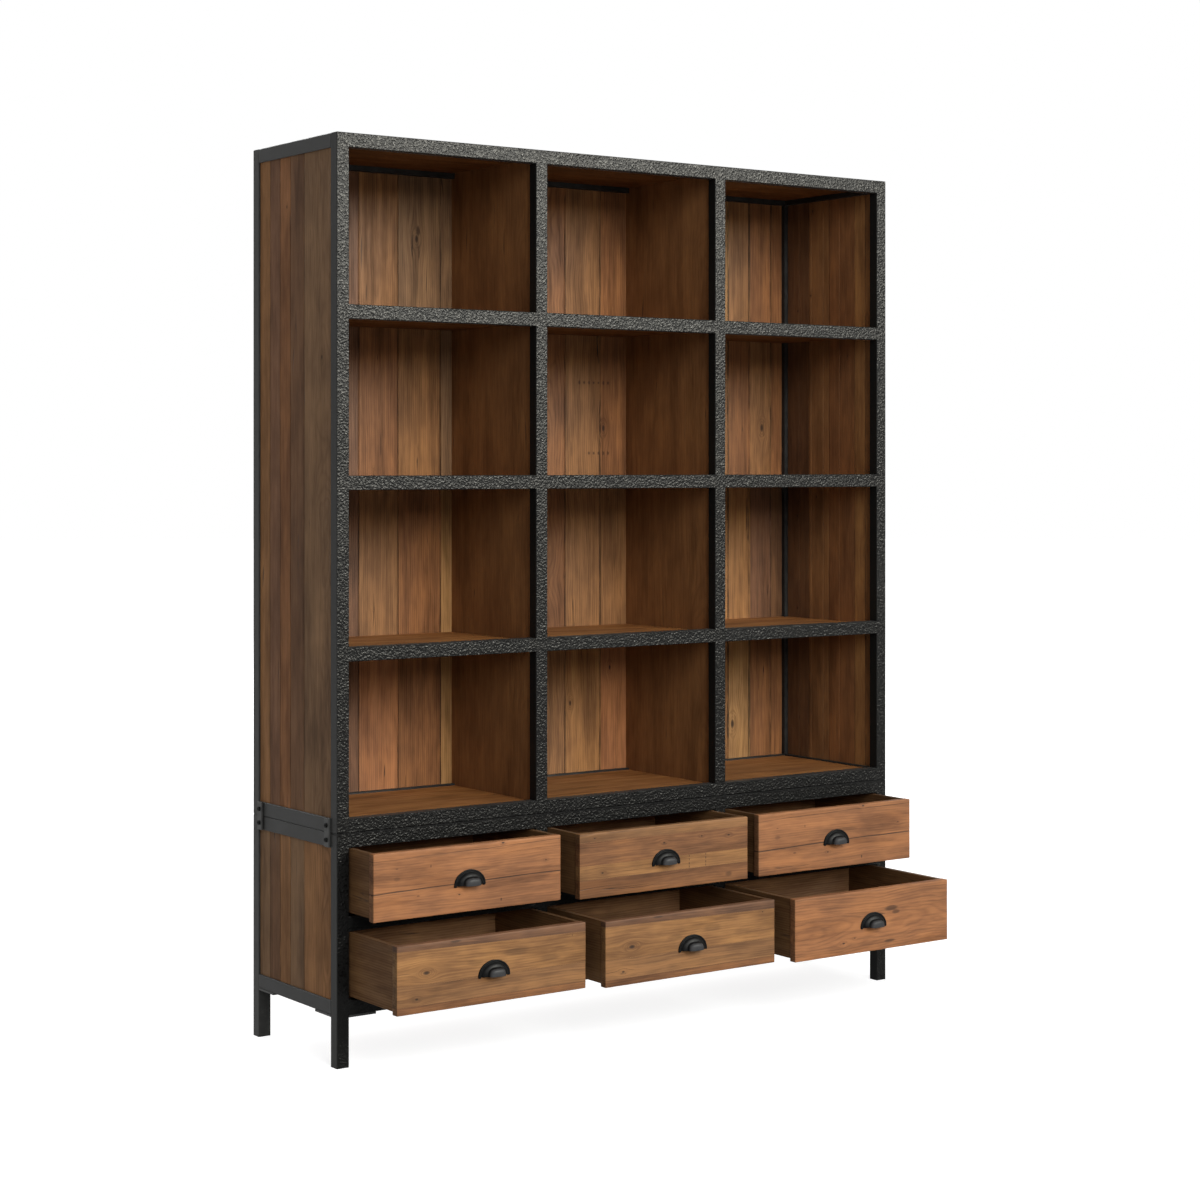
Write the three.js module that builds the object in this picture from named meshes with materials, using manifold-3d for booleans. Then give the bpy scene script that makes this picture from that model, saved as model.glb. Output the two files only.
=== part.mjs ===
import * as THREE from 'three';
import Module from 'manifold-3d';
import { mergeVertices } from 'three/addons/utils/BufferGeometryUtils.js';

// All lengths are in millimetres. X runs across, Y runs back, Z runs up from the floor.

// Size of the case
const caseWidth = 1670;
const caseDepth = 410;
const caseHeight = 2130;
const baseUnitHeight = 533;
const legClearHeight = 118.5;

// How the front is divided
const bayCount = 3;
const openRowCount = 4;
const drawerRowCount = 2;

// Steel tube of the welded frames
const outerPostWidth = 32;
const dividerPostWidth = 33;
const railHeight = 33;
const tubeDepth = 29;
const tubeWall = 2;
const footCapThickness = 4;
const tubeEdgeCut = 1.4;

// Boards that fill the frames
const boardThickness = 18;
const backThickness = 15;
const baseFloorThickness = 12;
const sidePanelRecess = 4;
const floorRecess = 4;
const topBoardRecess = 1.5;
const baseFloorRise = 5;

// Upright planks of the side and back panels
const plankGrooveWidth = 3;
const plankGrooveDepth = 1.2;
const sidePlankShares = [0.378, 0.568, 0.711, 0.858];
const backPlankShares = [
  0.022, 0.086, 0.156, 0.226, 0.303, 0.374, 0.442, 0.541, 0.611, 0.676, 0.746, 0.81, 0.88, 0.926, 0.974,
];

// Clearances
const fitGap = 0.3;
const weldDistance = 0.00001;
const drawerFrontGap = 1.5;
const runnerGap = 0.5;

// Drawers
const drawerFrontThickness = 21;
const drawerFrontBevel = 1.6;
const drawerDepth = 379;
const drawerSideThickness = 12;
const drawerSideInset = 2;
const drawerSideTopDrop = 1;
const drawerSideBottomRise = 8;
const drawerBottomThickness = 6;
const drawerBottomRise = 12;
const drawerGrooveDepth = 5;
const runnerLap = 8;

// How far each drawer stands open, front face beyond frame face, left to right
const topDrawerOpenings = [107, 133, 131];
const bottomDrawerOpenings = [210, 238, 272];

// Steel plates
const cornerPlateReach = 102.5;
const cornerPlateThickness = 5;
const cornerPlateClip = 24;
const bracketWidth = 23;
const bracketThickness = 5;
const bracketHoleDiameter = 7;
const bracketEdgeBevel = 0.6;

// Cast cup pull
const pullWidth = 85.6;
const pullHeight = 40.5;
const pullFlangeThickness = 3;
const pullFlangeBevel = 0.7;
const pullEarRadius = 5;
const pullEarDrop = 3.7;
const pullDomeWidth = 71;
const pullDomeHeight = 30;
const pullDomeProjection = 15;
const pullHoodWidth = 45;
const pullHoodHeight = 20;
const pullHoodProjection = 24;
const pullHoodCornerRadius = 9;
const pullHoodRound = 4;
const pullWall = 2.2;

// Values worked out from the ones above
const halfWidth = caseWidth / 2;
const innerHalf = halfWidth - outerPostWidth;
const postTotal = 2 * outerPostWidth + (bayCount - 1) * dividerPostWidth;
const bayWidth = (caseWidth - postTotal) / bayCount;
const bayPitch = bayWidth + dividerPostWidth;
const openRowHeight = (caseHeight - baseUnitHeight - (openRowCount + 1) * railHeight) / openRowCount;
const openRowPitch = openRowHeight + railHeight;
const drawerRowHeight =
  (baseUnitHeight - legClearHeight - (drawerRowCount + 1) * railHeight) / drawerRowCount;
const drawerRowPitch = drawerRowHeight + railHeight;
const rearFrameFront = caseDepth - tubeDepth;
const backFront = caseDepth - backThickness;
const sidePanelOuter = halfWidth - sidePanelRecess;
const sidePanelInner = sidePanelOuter - boardThickness;
const baseRailTop = legClearHeight + railHeight;
const baseTopRail = baseUnitHeight - railHeight;
const upperRailTop = baseUnitHeight + railHeight;
const upperTopRail = caseHeight - railHeight;
const upperFloorTop = upperRailTop - floorRecess;
const upperFloorUnder = upperFloorTop - boardThickness;
const ceilingTop = caseHeight - topBoardRecess;
const ceilingUnder = ceilingTop - boardThickness;
const halvingLine = (tubeDepth + backFront) / 2;
const widestOpening = Math.max(...topDrawerOpenings, ...bottomDrawerOpenings);
const centreShift = (widestOpening + pullHoodProjection - caseDepth) / 2;

// Surface colours and finishes
const finishes = {
  steel: { color: 0x4a4a48, roughness: 0.55, metalness: 0.7 },
  plate: { color: 0x2b2b2b, roughness: 0.55, metalness: 0.7 },
  caseWood: { color: 0x6b4428, roughness: 0.7, metalness: 0 },
  backWood: { color: 0x96693f, roughness: 0.7, metalness: 0 },
  sideWood: { color: 0x55402e, roughness: 0.75, metalness: 0 },
  drawerWood: { color: 0x9b6238, roughness: 0.7, metalness: 0 },
  boxWood: { color: 0x50341f, roughness: 0.75, metalness: 0 },
  castBlack: { color: 0x1d1e1f, roughness: 0.45, metalness: 0.6 },
};

// Corner points of a rectangle
function rectangle(u0, u1, v0, v1) {
  return [[u0, v0], [u1, v0], [u1, v1], [u0, v1]];
}

// Corner points of a rectangle with its corners cut at an angle
function chamferedRectangle(u0, u1, v0, v1, cut) {
  return [
    [u0 + cut, v0], [u1 - cut, v0], [u1, v0 + cut], [u1, v1 - cut],
    [u1 - cut, v1], [u0 + cut, v1], [u0, v1 - cut], [u0, v0 + cut],
  ];
}

// Flat outline with holes, from lists of points
function shapeFrom(points, holes = []) {
  const shape = new THREE.Shape(points.map(([u, v]) => new THREE.Vector2(u, v)));
  for (const hole of holes) {
    shape.holes.push(new THREE.Path(hole.map(([u, v]) => new THREE.Vector2(u, v))));
  }
  return shape;
}

// Outline given thickness, with an optional bevel that stays inside the outline
function thicken(shape, thickness, bevel = 0, bevelSegments = 1) {
  const geometry = new THREE.ExtrudeGeometry(shape, {
    depth: thickness - 2 * bevel,
    bevelEnabled: bevel > 0,
    bevelThickness: bevel,
    bevelSize: bevel,
    bevelOffset: -bevel,
    bevelSegments,
  });
  geometry.translate(0, 0, bevel);
  return geometry;
}

// Outline drawn across and up, thick from y0 to y1
function facing(shape, y0, y1, bevel = 0, bevelSegments = 1) {
  const geometry = thicken(shape, y1 - y0, bevel, bevelSegments);
  geometry.rotateX(Math.PI / 2);
  geometry.translate(0, y1, 0);
  return geometry;
}

// Outline drawn in plan, thick from z0 to z1
function lying(shape, z0, z1, bevel = 0) {
  const geometry = thicken(shape, z1 - z0, bevel);
  geometry.translate(0, 0, z0);
  return geometry;
}

// Outline drawn back and up, thick from x0 to x1
function upright(shape, x0, x1, bevel = 0) {
  const geometry = thicken(shape, x1 - x0, bevel);
  const across = new THREE.Vector3(1, 0, 0);
  const back = new THREE.Vector3(0, 1, 0);
  const up = new THREE.Vector3(0, 0, 1);
  geometry.applyMatrix4(new THREE.Matrix4().makeBasis(back, up, across));
  geometry.translate(x0, 0, 0);
  return geometry;
}

// Plain block between two corners
function block(x0, x1, y0, y1, z0, z1) {
  const geometry = new THREE.BoxGeometry(x1 - x0, y1 - y0, z1 - z0);
  geometry.translate((x0 + x1) / 2, (y0 + y1) / 2, (z0 + z1) / 2);
  return geometry;
}

// Long edge of a panel outline with a notch at each plank joint
function groovedEdge(start, end, level, inward, joints) {
  const direction = Math.sign(end - start);
  const ordered = [...joints].sort((a, b) => (a - b) * direction);
  const points = [[start, level]];
  for (const joint of ordered) {
    points.push([joint - direction * plankGrooveWidth / 2, level]);
    points.push([joint, level + inward * plankGrooveDepth]);
    points.push([joint + direction * plankGrooveWidth / 2, level]);
  }
  points.push([end, level]);
  return points;
}

// Places along a panel where two planks meet
function jointPlaces(start, end, shares) {
  return shares.map((share) => start + (end - start) * share);
}

async function build() {
  const wasm = await Module();
  wasm.setup();

  // Closed solid from a geometry
  function solidOf(geometry) {
    const bare = geometry.clone();
    bare.deleteAttribute('normal');
    bare.deleteAttribute('uv');
    const welded = mergeVertices(bare, weldDistance);
    return new wasm.Manifold(new wasm.Mesh({
      numProp: 3,
      vertProperties: new Float32Array(welded.attributes.position.array),
      triVerts: new Uint32Array(welded.index.array),
    }));
  }

  // Geometry from a closed solid
  function geometryOf(solid) {
    const mesh = solid.getMesh();
    const geometry = new THREE.BufferGeometry();
    geometry.setAttribute('position', new THREE.BufferAttribute(new Float32Array(mesh.vertProperties), 3));
    geometry.setIndex(new THREE.BufferAttribute(new Uint32Array(mesh.triVerts), 1));
    return geometry;
  }

  // Several geometries joined into one solid
  function unionOf(geometries) {
    return geometries.map(solidOf).reduce((sum, solid) => sum.add(solid));
  }

  // The whole object, centred over the floor with its drawers standing open
  const whole = new THREE.Group();
  const bookcase = new THREE.Group();
  bookcase.position.set(0, centreShift, 0);
  whole.add(bookcase);

  // Adds a named piece to a group
  function add(parent, name, geometry, finish) {
    const faceted = geometry.index ? geometry.toNonIndexed() : geometry.clone();
    faceted.computeVertexNormals();
    const mesh = new THREE.Mesh(faceted, new THREE.MeshStandardMaterial(finishes[finish]));
    mesh.name = name;
    parent.add(mesh);
  }

  // Left edge of a bay, counted from the left
  function bayLeft(bay) {
    return -innerHalf + bay * bayPitch;
  }

  // Middle of each post between two bays
  const dividerCentres = [];
  for (let bay = 1; bay < bayCount; bay += 1) {
    dividerCentres.push(bayLeft(bay) - dividerPostWidth / 2);
  }

  // Tube that stands upright, with cut edges
  function postTube(x0, x1, y0, y1, z0, z1) {
    return lying(shapeFrom(chamferedRectangle(x0, x1, y0, y1, tubeEdgeCut)), z0, z1);
  }

  // Tube that runs across, with cut edges
  function railTube(x0, x1, y0, y1, z0, z1) {
    return upright(shapeFrom(chamferedRectangle(y0, y1, z0, z1, tubeEdgeCut)), x0, x1);
  }

  // Welded frame of hollow tubes, open only where its posts meet the other unit
  function weldedFrame(posts, railFloors, y0, y1, meetingHeight) {
    const tubes = [];
    const hollows = [];
    for (const { centre, width, floor, top, lap } of posts) {
      const x0 = centre - width / 2;
      const x1 = centre + width / 2;
      const standsOnFloor = floor < legClearHeight;
      const foot = standsOnFloor ? floor : floor + lap;
      const inside = [x0 + tubeWall, x1 - tubeWall, y0 + tubeWall, y1 - tubeWall];
      const hollowFloor = floor + (standsOnFloor ? footCapThickness : tubeWall);
      tubes.push(postTube(x0, x1, y0, y1, foot, top - lap));
      hollows.push(block(...inside, hollowFloor, top - tubeWall));
      hollows.push(block(...inside, meetingHeight - 2 * tubeWall, meetingHeight + 2 * tubeWall));
    }
    const railEnd = halfWidth - tubeEdgeCut;
    const hollowEnd = halfWidth - tubeWall;
    for (const floor of railFloors) {
      const top = floor + railHeight;
      tubes.push(railTube(-railEnd, railEnd, y0, y1, floor, top));
      hollows.push(block(
        -hollowEnd, hollowEnd, y0 + tubeWall, y1 - tubeWall, floor + tubeWall, top - tubeWall,
      ));
    }
    return geometryOf(unionOf(tubes).subtract(unionOf(hollows)));
  }

  // Posts of a frame, given where the outer and the dividing ones start
  function postsOf(outerFloor, dividerFloor, top, withDividers) {
    const outer = [-1, 1].map((side) => ({
      centre: side * (halfWidth - outerPostWidth / 2),
      width: outerPostWidth, floor: outerFloor, top, lap: tubeEdgeCut,
    }));
    const dividing = dividerCentres.map((centre) => ({
      centre, width: dividerPostWidth, floor: dividerFloor, top, lap: railHeight / 2,
    }));
    return withDividers ? [...outer, ...dividing] : outer;
  }

  // Lower edges of evenly spaced rails
  function railSteps(first, pitch, count) {
    return Array.from({ length: count }, (unused, index) => first + index * pitch);
  }

  // Upper unit, welded front grid and rear ring
  add(bookcase, 'upper_front_frame', weldedFrame(
    postsOf(baseUnitHeight, baseUnitHeight, caseHeight, true),
    railSteps(baseUnitHeight, openRowPitch, openRowCount + 1), 0, tubeDepth, baseUnitHeight,
  ), 'steel');
  add(bookcase, 'upper_rear_frame', weldedFrame(
    postsOf(baseUnitHeight, baseUnitHeight, caseHeight, false),
    [baseUnitHeight, upperTopRail], rearFrameFront, caseDepth, baseUnitHeight,
  ), 'steel');

  // Base unit, welded front grid and rear ring on legs
  add(bookcase, 'base_front_frame', weldedFrame(
    postsOf(0, legClearHeight, baseUnitHeight, true),
    railSteps(legClearHeight, drawerRowPitch, drawerRowCount + 1), 0, tubeDepth, baseUnitHeight,
  ), 'steel');
  add(bookcase, 'base_rear_frame', weldedFrame(
    postsOf(0, legClearHeight, baseUnitHeight, false),
    [legClearHeight, baseTopRail], rearFrameFront, caseDepth, baseUnitHeight,
  ), 'steel');

  // Side rails, hollow tubes between the front and rear posts
  function sideRail(side, z0) {
    const x0 = Math.min(side * innerHalf, side * halfWidth);
    const x1 = x0 + outerPostWidth;
    const z1 = z0 + railHeight;
    const profile = shapeFrom(
      chamferedRectangle(x0, x1, z0, z1, tubeEdgeCut),
      [rectangle(x0 + tubeWall, x1 - tubeWall, z0 + tubeWall, z1 - tubeWall)],
    );
    return facing(profile, tubeDepth, rearFrameFront);
  }

  // Side panel of upright planks
  function sidePanel(side, z0, z1) {
    const joints = jointPlaces(tubeDepth, rearFrameFront, sidePlankShares);
    const outer = groovedEdge(tubeDepth, rearFrameFront, side * sidePanelOuter, -side, joints);
    const inner = groovedEdge(rearFrameFront, tubeDepth, side * sidePanelInner, side, joints);
    const outline = [...outer, ...inner].map(([along, level]) => [level, along]);
    return lying(shapeFrom(outline), z0, z1);
  }

  // Back panel of upright planks, grooved on the side that faces forward
  function backPanel(z0, z1) {
    const joints = jointPlaces(-innerHalf, innerHalf, backPlankShares);
    const front = groovedEdge(-innerHalf, innerHalf, backFront, 1, joints);
    const outline = [...front, [innerHalf, caseDepth], [-innerHalf, caseDepth]];
    return lying(shapeFrom(outline), z0, z1);
  }

  const sides = [['left', -1], ['right', 1]];
  for (const [sideName, side] of sides) {
    add(bookcase, `upper_top_side_rail_${sideName}`, sideRail(side, upperTopRail), 'steel');
    add(bookcase, `upper_bottom_side_rail_${sideName}`, sideRail(side, baseUnitHeight), 'steel');
    add(bookcase, `base_top_side_rail_${sideName}`, sideRail(side, baseTopRail), 'steel');
    add(bookcase, `base_bottom_side_rail_${sideName}`, sideRail(side, legClearHeight), 'steel');
    add(bookcase, `upper_side_panel_${sideName}`, sidePanel(side, upperRailTop, upperTopRail), 'sideWood');
  }
  add(bookcase, 'upper_back_panel', backPanel(upperRailTop, upperTopRail), 'backWood');
  add(bookcase, 'base_back_panel', backPanel(baseRailTop, baseTopRail), 'backWood');

  // Boards that lie between the four rails of a unit
  add(bookcase, 'upper_top_board', block(
    -innerHalf, innerHalf, tubeDepth, rearFrameFront, ceilingUnder, ceilingTop,
  ), 'caseWood');
  add(bookcase, 'upper_floor_board', block(
    -innerHalf, innerHalf, tubeDepth, rearFrameFront, upperFloorUnder, upperFloorTop,
  ), 'caseWood');
  const baseFloorUnder = legClearHeight + baseFloorRise;
  const baseFloorTop = baseFloorUnder + baseFloorThickness;
  add(bookcase, 'base_floor_board', block(
    -innerHalf, innerHalf, tubeDepth, rearFrameFront, baseFloorUnder, baseFloorTop,
  ), 'caseWood');

  // Middle height of each shelf, behind its rail
  const shelfCentres = [];
  for (let row = 1; row < openRowCount; row += 1) {
    shelfCentres.push(upperRailTop + row * openRowPitch - railHeight / 2);
  }

  // Shelf with slots from the front that take the dividers
  function shelfOutline() {
    const slotHalf = boardThickness / 2 + fitGap;
    const slotEnd = halvingLine + fitGap / 2;
    const front = dividerCentres.flatMap((centre) => [
      [centre - slotHalf, tubeDepth], [centre - slotHalf, slotEnd],
      [centre + slotHalf, slotEnd], [centre + slotHalf, tubeDepth],
    ]);
    const notchX = innerHalf - fitGap;
    const notchY = rearFrameFront - fitGap;
    return [
      [-sidePanelInner, tubeDepth], ...front, [sidePanelInner, tubeDepth],
      [sidePanelInner, notchY], [notchX, notchY], [notchX, backFront],
      [-notchX, backFront], [-notchX, notchY], [-sidePanelInner, notchY],
    ];
  }
  shelfCentres.forEach((centre, index) => {
    const under = centre - boardThickness / 2;
    const shelf = lying(shapeFrom(shelfOutline()), under, under + boardThickness);
    add(bookcase, `shelf_${index + 1}`, shelf, 'caseWood');
  });

  // Divider with slots from the back that take the shelves
  function dividerOutline() {
    const slotHalf = boardThickness / 2 + fitGap;
    const slotEnd = halvingLine - fitGap / 2;
    const notchY = rearFrameFront - fitGap;
    const back = shelfCentres.flatMap((centre) => [
      [backFront, centre - slotHalf], [slotEnd, centre - slotHalf],
      [slotEnd, centre + slotHalf], [backFront, centre + slotHalf],
    ]);
    return [
      [tubeDepth, upperFloorTop], [notchY, upperFloorTop],
      [notchY, upperRailTop + fitGap], [backFront, upperRailTop + fitGap],
      ...back,
      [backFront, upperTopRail - fitGap], [notchY, upperTopRail - fitGap],
      [notchY, ceilingUnder], [tubeDepth, ceilingUnder],
    ];
  }
  dividerCentres.forEach((centre, index) => {
    const x0 = centre - boardThickness / 2;
    const divider = upright(shapeFrom(dividerOutline()), x0, x0 + boardThickness);
    add(bookcase, `divider_${index + 1}`, divider, 'caseWood');
  });

  // Drawer sizes
  const frontWidth = bayWidth - 2 * drawerFrontGap;
  const frontHeight = drawerRowHeight - 2 * drawerFrontGap;
  const boxWidth = frontWidth - 2 * drawerSideInset;
  const boxHeight = frontHeight - drawerSideTopDrop - drawerSideBottomRise;
  const runnerHeight = drawerFrontGap + drawerSideBottomRise - runnerGap;

  // Floor of each drawer opening, top row first
  const drawerRowFloors = [baseRailTop + drawerRowPitch, baseRailTop];

  // Runner strips on one face of an upright board, reaching under the drawer sides
  function runners(boardInside, reachTo) {
    return drawerRowFloors.map((floor) => block(
      Math.min(boardInside, reachTo), Math.max(boardInside, reachTo),
      tubeDepth + fitGap, rearFrameFront - fitGap, floor, floor + runnerHeight,
    ));
  }
  const runnerReach = drawerFrontGap + drawerSideInset + runnerLap;
  for (const [sideName, side] of sides) {
    const panelMiddle = side * (sidePanelInner + boardThickness / 2);
    add(bookcase, `base_side_panel_${sideName}`, geometryOf(unionOf([
      sidePanel(side, baseRailTop, baseTopRail),
      ...runners(panelMiddle, side * (innerHalf - runnerReach)),
    ])), 'sideWood');
  }

  // Divider between two columns of drawers, with runners on both faces
  function drawerDividerOutline() {
    return [
      [tubeDepth, baseFloorTop], [rearFrameFront, baseFloorTop],
      [rearFrameFront, baseRailTop + fitGap], [backFront, baseRailTop + fitGap],
      [backFront, baseTopRail - fitGap], [rearFrameFront, baseTopRail - fitGap],
      [rearFrameFront, baseUnitHeight], [tubeDepth, baseUnitHeight],
    ];
  }
  dividerCentres.forEach((centre, index) => {
    const x0 = centre - boardThickness / 2;
    const reach = dividerPostWidth / 2 + runnerReach;
    add(bookcase, `drawer_divider_${index + 1}`, geometryOf(unionOf([
      upright(shapeFrom(drawerDividerOutline()), x0, x0 + boardThickness),
      ...runners(centre - reach, centre + reach),
    ])), 'caseWood');
  });

  // Plates under the bottom rails, cut around each leg
  function cornerPlate(side, end) {
    const outerX = side * halfWidth;
    const outerY = end < 0 ? 0 : caseDepth;
    const inX = -side;
    const inY = -end;
    const at = (alongX, alongY) => [outerX + inX * alongX, outerY + inY * alongY];
    const legX = outerPostWidth + fitGap;
    const legY = tubeDepth + fitGap;
    return lying(shapeFrom([
      at(legX, 0), at(cornerPlateReach, 0), at(cornerPlateReach, cornerPlateReach - cornerPlateClip),
      at(cornerPlateReach - cornerPlateClip, cornerPlateReach), at(0, cornerPlateReach),
      at(0, legY), at(legX, legY),
    ]), legClearHeight - cornerPlateThickness, legClearHeight);
  }

  // Plates bolted over the joint between the two units
  function joiningBracket(side, end) {
    const edge = end < 0 ? tubeDepth : rearFrameFront;
    const y0 = Math.min(edge, edge - end * bracketWidth);
    const middle = y0 + bracketWidth / 2;
    const holes = [baseTopRail, baseUnitHeight].map((floor) => {
      const hole = new THREE.Path();
      hole.absarc(middle, floor + railHeight / 2, bracketHoleDiameter / 2, 0, 2 * Math.PI, true);
      return hole.getPoints(8).slice(0, -1).map((point) => [point.x, point.y]);
    });
    const outline = rectangle(y0, y0 + bracketWidth, baseTopRail, upperRailTop);
    const x0 = side > 0 ? halfWidth : -halfWidth - bracketThickness;
    return upright(shapeFrom(outline, holes), x0, x0 + bracketThickness, bracketEdgeBevel);
  }
  for (const [sideName, side] of sides) {
    for (const [endName, end] of [['front', -1], ['rear', 1]]) {
      add(bookcase, `corner_plate_${endName}_${sideName}`, cornerPlate(side, end), 'plate');
      add(bookcase, `joining_bracket_${endName}_${sideName}`, joiningBracket(side, end), 'plate');
    }
  }

  // Half-moon flange of the pull, with a rounded ear at each lower end
  function flangeShape() {
    const earX = pullWidth / 2 - pullEarRadius;
    const earDip = Math.asin((pullEarRadius - pullEarDrop) / pullEarRadius);
    const shape = new THREE.Shape();
    shape.absarc(earX, pullEarRadius, pullEarRadius, Math.PI + earDip, 2 * Math.PI, false);
    shape.absellipse(0, pullEarRadius, pullWidth / 2, pullHeight - pullEarRadius, 0, Math.PI, false);
    shape.absarc(-earX, pullEarRadius, pullEarRadius, Math.PI, 2 * Math.PI - earDip, false);
    return shape;
  }

  // Domed part of the pull, shrunk by a wall thickness for its hollow
  function domeGeometry(shrink) {
    const geometry = new THREE.SphereGeometry(1, 32, 16);
    geometry.rotateX(Math.PI / 2);
    geometry.scale(pullDomeWidth / 2 - shrink, pullDomeProjection - shrink, pullDomeHeight - shrink);
    geometry.translate(0, 0, pullEarDrop);
    return geometry;
  }

  // Finger hood of the pull, shrunk by a wall thickness for its hollow
  function hoodGeometry(shrink, foot, heel) {
    const half = pullHoodWidth / 2 - shrink;
    const top = pullEarDrop + pullHoodHeight - shrink;
    const radius = pullHoodCornerRadius - shrink;
    const shape = new THREE.Shape();
    shape.moveTo(-half, foot);
    shape.lineTo(half, foot);
    shape.lineTo(half, top - radius);
    shape.absarc(half - radius, top - radius, radius, 0, Math.PI / 2, false);
    shape.absarc(radius - half, top - radius, radius, Math.PI / 2, Math.PI, false);
    const points = shape.getPoints(4).map((point) => [point.x, point.y]);
    const outline = points.filter((point, index) => {
      const next = points[(index + 1) % points.length];
      return Math.hypot(point[0] - next[0], point[1] - next[1]) > pullWall / 100;
    });
    return facing(shapeFrom(outline), shrink - pullHoodProjection, heel, pullHoodRound - shrink / 2, 2);
  }

  // Cup pull, a hollow casting open downward and toward the drawer front
  const reach = pullWidth;
  const keepBlock = block(-reach, reach, -reach, 0, pullEarDrop, reach);
  const hollowBlock = block(-reach, reach, -reach, 2 * pullWall, -reach, reach);
  const hoodBelow = pullEarDrop - 3 * pullHoodRound;
  const hoodBehind = 2 * pullHoodRound;
  const domeAndHood = solidOf(domeGeometry(0))
    .add(solidOf(hoodGeometry(0, hoodBelow, hoodBehind)))
    .intersect(solidOf(keepBlock));
  const pullHollow = solidOf(domeGeometry(pullWall))
    .add(solidOf(hoodGeometry(pullWall, hoodBelow, hoodBehind)))
    .intersect(solidOf(hollowBlock));
  const flange = facing(flangeShape(), -pullFlangeThickness, 0, pullFlangeBevel);
  const cupPull = geometryOf(solidOf(flange).add(domeAndHood).subtract(pullHollow));

  // Drawer front, with its face at the zero of the drawer and its lower edge at zero height
  const frontBoard = facing(
    shapeFrom(rectangle(-frontWidth / 2, frontWidth / 2, 0, frontHeight)),
    0, drawerFrontThickness, drawerFrontBevel,
  );

  // Drawer box, two sides and a back around a groove that holds the bottom
  const boxOuter = boxWidth / 2;
  const boxInner = boxOuter - drawerSideThickness;
  const boxInnerBack = drawerDepth - drawerSideThickness;
  const boxBoards = lying(shapeFrom([
    [-boxOuter, drawerFrontThickness], [-boxInner, drawerFrontThickness], [-boxInner, boxInnerBack],
    [boxInner, boxInnerBack], [boxInner, drawerFrontThickness], [boxOuter, drawerFrontThickness],
    [boxOuter, drawerDepth], [-boxOuter, drawerDepth],
  ]), drawerSideBottomRise, drawerSideBottomRise + boxHeight);
  const grooveHalf = boxInner + drawerGrooveDepth;
  const grooveBack = boxInnerBack + drawerGrooveDepth;
  const bottomUnder = drawerSideBottomRise + drawerBottomRise;
  const bottomTop = bottomUnder + drawerBottomThickness;
  const groove = block(
    -grooveHalf, grooveHalf, 0, grooveBack, bottomUnder - fitGap, bottomTop + fitGap,
  );
  const drawerBox = geometryOf(solidOf(boxBoards).subtract(solidOf(groove)));

  // Drawer bottom, lying in the groove
  const bottomHalf = grooveHalf - fitGap;
  const bottomBoard = block(
    -bottomHalf, bottomHalf, drawerFrontThickness, grooveBack - fitGap, bottomUnder, bottomTop,
  );

  // Pull in the middle of the front
  cupPull.translate(0, 0, (frontHeight - pullHeight) / 2);

  // Six drawers, each standing open by its own amount
  const columnNames = ['left', 'middle', 'right'];
  const rows = [['top', topDrawerOpenings], ['bottom', bottomDrawerOpenings]];
  rows.forEach(([rowName, openings], row) => {
    openings.forEach((opening, bay) => {
      const drawer = new THREE.Group();
      const name = `drawer_${rowName}_${columnNames[bay]}`;
      drawer.position.set(bayLeft(bay) + bayWidth / 2, -opening, drawerRowFloors[row] + drawerFrontGap);
      add(drawer, `${name}_front`, frontBoard, 'drawerWood');
      add(drawer, `${name}_box`, drawerBox, 'boxWood');
      add(drawer, `${name}_bottom`, bottomBoard, 'boxWood');
      add(drawer, `${name}_pull`, cupPull, 'castBlack');
      bookcase.add(drawer);
    });
  });

  return whole;
}

export default await build();
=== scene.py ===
"""Bookcase of welded steel tube and reclaimed planks, on a base with six drawers."""
import math

import bmesh
import bpy
from bpy.props import FloatProperty, FloatVectorProperty, PointerProperty
from mathutils import Matrix, Vector


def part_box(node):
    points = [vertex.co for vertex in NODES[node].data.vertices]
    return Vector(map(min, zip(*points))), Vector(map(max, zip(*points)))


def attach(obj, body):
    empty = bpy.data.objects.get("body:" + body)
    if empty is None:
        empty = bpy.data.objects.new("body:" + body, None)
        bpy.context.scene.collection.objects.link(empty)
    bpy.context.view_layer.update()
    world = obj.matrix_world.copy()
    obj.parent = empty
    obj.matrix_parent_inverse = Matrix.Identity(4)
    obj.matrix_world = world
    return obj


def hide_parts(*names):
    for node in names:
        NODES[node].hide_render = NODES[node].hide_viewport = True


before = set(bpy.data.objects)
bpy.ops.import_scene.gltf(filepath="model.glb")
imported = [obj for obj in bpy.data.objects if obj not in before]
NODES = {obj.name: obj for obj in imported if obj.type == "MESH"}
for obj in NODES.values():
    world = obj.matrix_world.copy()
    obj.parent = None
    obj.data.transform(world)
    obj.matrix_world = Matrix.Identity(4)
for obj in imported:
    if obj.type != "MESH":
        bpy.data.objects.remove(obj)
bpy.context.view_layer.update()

bl_info = {
    "name": "Bookcase with bottom drawers",
    "version": (1, 0, 0),
    "blender": (4, 5, 0),
    "location": "View3D > Sidebar > Bookcase",
    "description": "Finishes a steel and plank bookcase: wood, steel, drawer fronts, pulls and bolts",
    "category": "Object",
}

MM = 0.001
COLUMNS = ("left", "middle", "right")
DRAWERS = [f"drawer_{row}_{column}" for row in ("top", "bottom") for column in COLUMNS]
X, Y, Z = 0, 1, 2


def tint(red, green, blue):
    """Linear colour from the 0 to 255 numbers of a colour picker."""
    return tuple(((c / 255 + 0.055) / 1.055) ** 2.4 for c in (red, green, blue))


def scaled(colour, *shares):
    """Colour with each channel taken times its share, or times one share for all."""
    shares = shares * 3 if len(shares) == 1 else shares
    return tuple(c * s for c, s in zip(colour, shares))


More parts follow.
